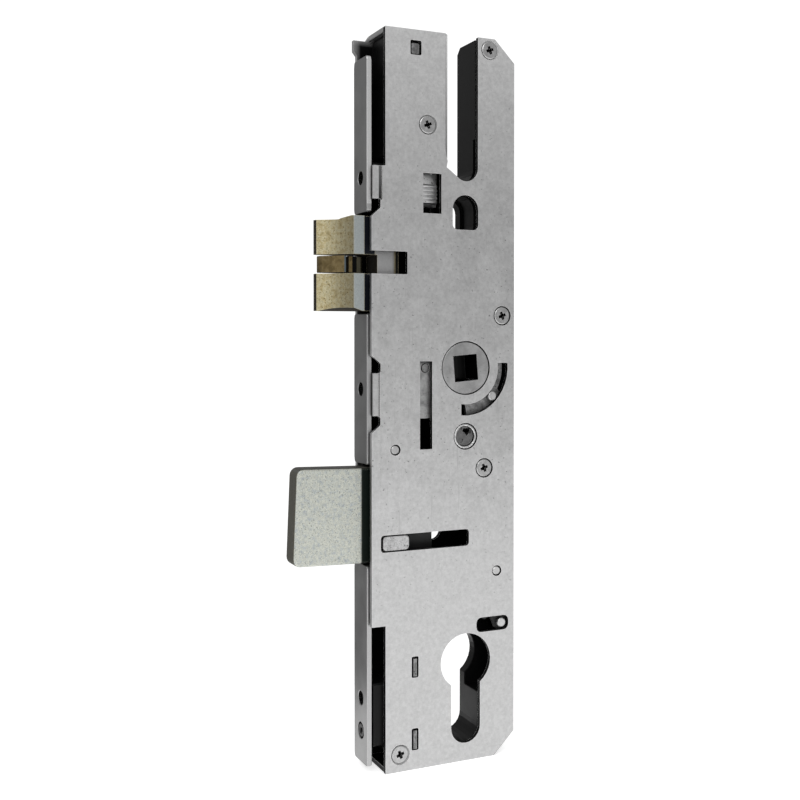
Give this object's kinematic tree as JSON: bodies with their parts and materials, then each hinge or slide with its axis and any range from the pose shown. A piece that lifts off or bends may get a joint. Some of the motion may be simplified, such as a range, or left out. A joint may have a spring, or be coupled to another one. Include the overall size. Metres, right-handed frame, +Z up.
{
  "type": "mortise lock centre case",
  "caption": "Narrow mortise lock case for a multipoint door lock, with a forked sprung latch, a square deadbolt, a spindle follower geared to a drive slide, and a euro-profile cylinder hole.",
  "frame": {"origin": "On the front face of the middle forend strip, level with the spindle, halfway through the thickness of the case.", "axes": "+X runs from the forend into the door, +Y from the screwed near cover to the far side plate, +Z up along the case."},
  "size_m": [0.0727, 0.015, 0.2268],
  "materials": {
    "galvanised_steel": "satin galvanised sheet",
    "screw_steel": "zinc-plated countersunk screws",
    "strip_steel": "dull plated steel",
    "black_casting": "black coated casting",
    "yellow_zinc": "cast metal with yellow passivate",
    "clear_zinc": "cast metal with mottled clear passivate",
    "tongue_bronze": "sintered bronze, worn",
    "bright_steel": "bright steel",
    "spring_steel": "spring steel"
  },
  "bodies": {
    "case": {"near_cover": "galvanised_steel", "far_case": "galvanised_steel", "upper_block": "black_casting", "cylinder_block": "black_casting", "upper_front_block": "black_casting", "head_lug": "strip_steel", "upper_strip": "strip_steel", "middle_strip": "strip_steel", "lower_strip": "strip_steel", "upper_screw_block": "black_casting", "middle_screw_block": "black_casting", "lower_screw_block": "black_casting", "lower_strip_rivet": "strip_steel", "case_screw_head": "screw_steel", "case_screw_arm": "screw_steel", "case_screw_rear": "screw_steel", "case_screw_middle": "screw_steel", "case_screw_foot": "screw_steel", "case_sleeve_rear": "black_casting", "case_sleeve_middle": "black_casting", "case_sleeve_foot": "black_casting", "front_rivet": "bright_steel", "lever_pivot": "bright_steel", "fixing_eyelet": "bright_steel", "fixing_pillar": "strip_steel", "spacer_plate": "strip_steel", "deadbolt_guide": "black_casting", "detent_spring": "spring_steel", "spring_post": "bright_steel", "follower_spring": "spring_steel", "latch_spring": "spring_steel", "lever_spring": "spring_steel"},
    "follower": {"follower_hub": "galvanised_steel", "follower_gear": "galvanised_steel", "follower_cam": "clear_zinc", "follower_pin": "bright_steel"},
    "drive_slide": {"drive_slide": "bright_steel", "slide_rivet": "strip_steel", "rack_block": "strip_steel"},
    "latch": {"latch_head": "yellow_zinc", "latch_tail": "clear_zinc", "latch_tail_rivet": "bright_steel", "tongue_pin": "bright_steel"},
    "tongue": {"latch_tongue": "tongue_bronze"},
    "deadbolt": {"deadbolt": "clear_zinc", "deadbolt_lug": "clear_zinc", "deadbolt_tail": "galvanised_steel", "tail_rivet_upper": "bright_steel", "tail_rivet_lower": "bright_steel"},
    "locking_lever": {"locking_lever": "bright_steel", "lever_pin": "strip_steel"}
  },
  "joints": [
    {"name": "follower_turn", "type": "hinge", "parent": "case", "child": "follower", "pos_m": [0.0325, 0, 0], "axis": [0, 1, 0], "range_deg": [-40, 40], "stiffness_Nm_per_rad": 0.35},
    {"name": "drive_slide_travel", "type": "slide", "parent": "case", "child": "drive_slide", "axis": [0, 0, 1], "range_m": [-0.00698, 0.00698]},
    {"name": "latch_travel", "type": "slide", "parent": "case", "child": "latch", "axis": [1, 0, 0], "range_m": [0, 0.0124], "stiffness_N_per_m": 250, "springref_m": -0.006, "deforming": ["latch_spring"]},
    {"name": "tongue_swing", "type": "hinge", "parent": "latch", "child": "tongue", "pos_m": [-0.001, 0.0029, 0.0318], "axis": [0, 0, 1], "range_deg": [0, 12], "stiffness_Nm_per_rad": 0.01},
    {"name": "deadbolt_travel", "type": "slide", "parent": "case", "child": "deadbolt", "axis": [1, 0, 0], "range_m": [0, 0.02]},
    {"name": "locking_lever_swing", "type": "hinge", "parent": "case", "child": "locking_lever", "pos_m": [0.0435, 0, -0.0645], "axis": [0, 1, 0], "range_deg": [0, 26], "stiffness_Nm_per_rad": 0.02, "springref_deg": -11.46}
  ],
  "couplings": [
    {"joint": "follower_turn", "follows": "drive_slide_travel", "rad_per_m": 100}
  ]
}
